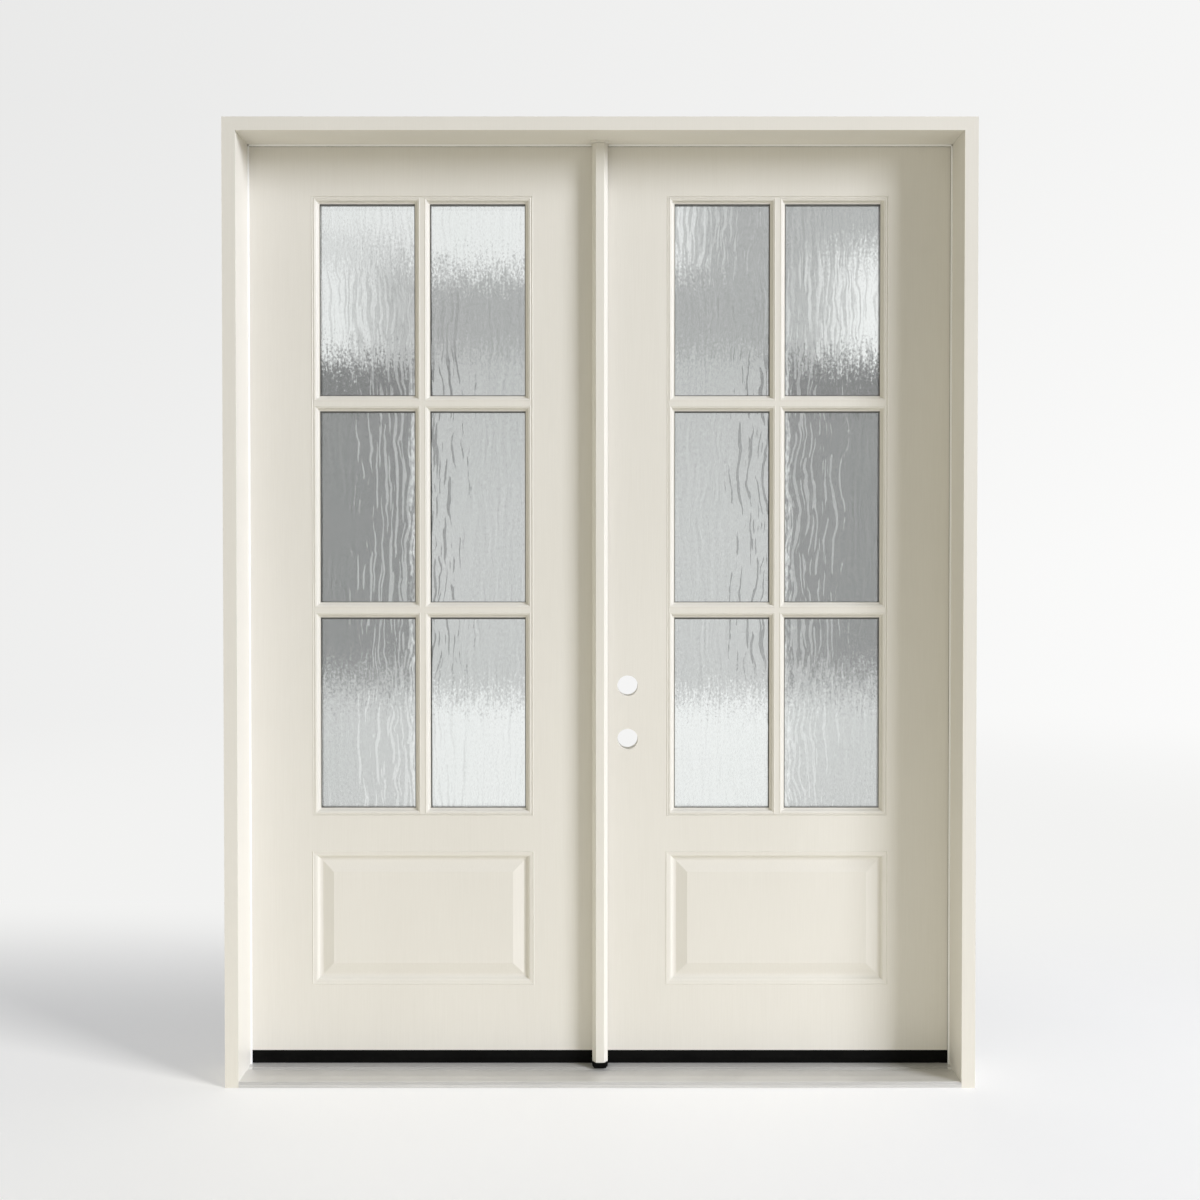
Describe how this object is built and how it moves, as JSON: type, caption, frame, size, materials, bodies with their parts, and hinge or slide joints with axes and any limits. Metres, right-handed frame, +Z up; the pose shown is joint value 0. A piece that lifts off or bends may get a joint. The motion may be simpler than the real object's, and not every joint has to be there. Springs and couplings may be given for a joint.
{
  "type": "double entrance door",
  "caption": "Prehung inward-opening double entrance door in a rabbeted frame: glazed leaves over raised panels, a cover moulding at the meeting edge, bored for a lock.",
  "frame": {"origin": "middle of the sill's underside, halfway through the frame's depth", "axes": "+X to the right as seen from outside, +Y from outside to inside, +Z up"},
  "size_m": [1.9, 0.1799, 2.45],
  "materials": {
    "painted_skin": "satin warm off-white paint over a moulded fibreglass skin",
    "painted_frame": "satin warm off-white paint over primed timber",
    "painted_stile": "satin warm off-white paint over laminated timber",
    "foam": "rigid pale yellow foam, hidden",
    "rain_glass": "patterned with vertical running streaks",
    "clear_glass": "clear float glass",
    "mill_aluminium": "mill finish, drawn lengthwise",
    "sill_composite": "dull grey-brown composite",
    "black_vinyl": "matt black flexible vinyl",
    "white_seal": "matt white foam seal skin",
    "hinge_steel": "satin nickel plate"
  },
  "bodies": {
    "frame": {"head_jamb": "painted_frame", "head_seal": "white_seal", "head_pad": "painted_frame", "sill_substrate": "sill_composite", "sill_deck": "mill_aluminium", "threshold": "mill_aluminium", "left_jamb": "painted_frame", "right_jamb": "painted_frame", "left_jamb_seal": "white_seal", "right_jamb_seal": "white_seal", "left_jamb_hinges": "hinge_steel", "right_jamb_hinges": "hinge_steel"},
    "left_leaf": {"left_outer_skin": "painted_skin", "left_inner_skin": "painted_skin", "left_hinge_stile": "painted_stile", "left_lock_stile": "painted_stile", "left_top_rail": "painted_stile", "left_bottom_rail": "painted_stile", "left_foam_core": "foam", "left_outer_lite_frame": "painted_skin", "left_inner_lite_frame": "painted_skin", "left_outer_pane": "rain_glass", "left_inner_pane": "clear_glass", "left_glass_spacer": "mill_aluminium", "left_door_sweep": "black_vinyl", "left_leaf_hinges": "hinge_steel", "astragal": "painted_frame", "astragal_seal": "white_seal", "astragal_foot": "black_vinyl"},
    "right_leaf": {"right_outer_skin": "painted_skin", "right_inner_skin": "painted_skin", "right_hinge_stile": "painted_stile", "right_lock_stile": "painted_stile", "right_top_rail": "painted_stile", "right_bottom_rail": "painted_stile", "right_foam_core": "foam", "right_outer_lite_frame": "painted_skin", "right_inner_lite_frame": "painted_skin", "right_outer_pane": "rain_glass", "right_inner_pane": "clear_glass", "right_glass_spacer": "mill_aluminium", "right_door_sweep": "black_vinyl", "right_leaf_hinges": "hinge_steel", "right_lock_block": "painted_stile"}
  },
  "joints": [
    {"name": "left_leaf_hinge", "type": "hinge", "parent": "frame", "child": "left_leaf", "pos_m": [-0.9262, 0.0902, 1.2], "axis": [0, 0, 1], "range_deg": [0, 105]},
    {"name": "right_leaf_hinge", "type": "hinge", "parent": "frame", "child": "right_leaf", "pos_m": [0.9262, 0.0902, 1.2], "axis": [0, 0, -1], "range_deg": [0, 105]}
  ]
}
